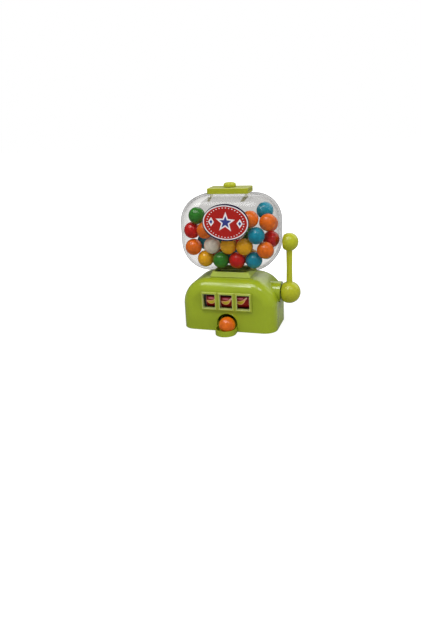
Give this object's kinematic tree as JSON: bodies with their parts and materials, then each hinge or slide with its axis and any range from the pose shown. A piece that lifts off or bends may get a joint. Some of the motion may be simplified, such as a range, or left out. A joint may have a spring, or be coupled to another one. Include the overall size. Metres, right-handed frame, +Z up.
{
  "type": "gum vending machine",
  "caption": "Countertop gum vending machine: clear pillow-shaped globe of gumballs with a lift-off lid, fruit reels, a side pull lever and a ball chute.",
  "frame": {"origin": "middle of the base's underside, on the surface the machine stands on", "axes": "+Z up, +X towards the lever's side, -Y to the front with the windows and the chute"},
  "size_m": [0.1033, 0.0632, 0.126],
  "materials": {
    "lime_plastic": "moulded, semi-gloss lime green",
    "olive_lime_plastic": "moulded, semi-gloss yellow-green",
    "clear_plastic": "clear, polished",
    "label_red": "printed, glossy",
    "reel_red": "printed, semi-gloss",
    "steel": "plain",
    "natural_plastic": "moulded, undyed",
    "gum_blue": "glazed sugar shell",
    "gum_green": "glazed sugar shell",
    "gum_red": "glazed sugar shell",
    "gum_orange": "glazed sugar shell",
    "gum_yellow": "glazed sugar shell",
    "gum_white": "glazed sugar shell"
  },
  "bodies": {
    "machine": {"base_housing": "lime_plastic", "bottom_cover": "lime_plastic", "chute": "lime_plastic", "window_frame": "lime_plastic", "globe_seat": "lime_plastic", "globe": "clear_plastic", "oval_plate": "label_red", "lid_frame": "olive_lime_plastic", "shaft_bush": "natural_plastic", "side_plate_left": "natural_plastic", "side_plate_right": "natural_plastic", "feed_throat": "natural_plastic", "return_spring": "steel", "screw_1": "steel", "screw_2": "steel", "screw_3": "steel", "screw_4": "steel", "chute_gumball": "gum_orange", "gumball_01": "gum_yellow", "gumball_02": "gum_green", "gumball_03": "gum_red", "gumball_04": "gum_blue", "gumball_05": "gum_orange", "gumball_06": "gum_white", "gumball_07": "gum_yellow", "gumball_08": "gum_yellow", "gumball_09": "gum_orange", "gumball_10": "gum_red", "gumball_11": "gum_orange", "gumball_12": "gum_blue", "gumball_13": "gum_green", "gumball_14": "gum_orange", "gumball_15": "gum_orange", "gumball_16": "gum_blue", "gumball_17": "gum_white", "gumball_18": "gum_blue", "gumball_19": "gum_green", "gumball_20": "gum_red", "gumball_21": "gum_white", "gumball_22": "gum_orange", "gumball_23": "gum_blue", "gumball_24": "gum_yellow", "gumball_25": "gum_green", "gumball_26": "gum_red", "gumball_27": "gum_red", "gumball_28": "gum_orange"},
    "lid": {"lid_cover": "olive_lime_plastic", "lid_knob": "olive_lime_plastic"},
    "pull_lever": {"lever": "olive_lime_plastic", "lever_shaft": "steel", "lever_gear": "natural_plastic", "shaft_clip": "steel"},
    "reels": {"reel_left": "reel_red", "reel_middle": "reel_red", "reel_right": "reel_red", "reel_axle": "steel", "reel_axle_clip": "steel", "reel_pinion": "natural_plastic"},
    "dispenser": {"drum": "natural_plastic", "drum_pinion": "natural_plastic"}
  },
  "joints": [
    {"name": "lever_pull", "type": "hinge", "parent": "machine", "child": "pull_lever", "pos_m": [0, 0, 0.03105], "axis": [1, 0, 0], "range_deg": [0, 81], "stiffness_Nm_per_rad": 0.006, "springref_deg": -28.65},
    {"name": "reel_spin", "type": "hinge", "parent": "machine", "child": "reels", "pos_m": [0, -0.01192, 0.0272], "axis": [1, 0, 0], "range_deg": [-144, 0]},
    {"name": "dispenser_turn", "type": "hinge", "parent": "machine", "child": "dispenser", "pos_m": [0, 0.01192, 0.0272], "axis": [1, 0, 0], "range_deg": [-144, 0]},
    {"name": "lid_lift", "type": "slide", "parent": "machine", "child": "lid", "axis": [0, 0, 1], "range_m": [0, 0.03]}
  ],
  "couplings": [
    {"joint": "reel_spin", "follows": "lever_pull", "ratio": -1.7778},
    {"joint": "dispenser_turn", "follows": "lever_pull", "ratio": -1.7778}
  ]
}
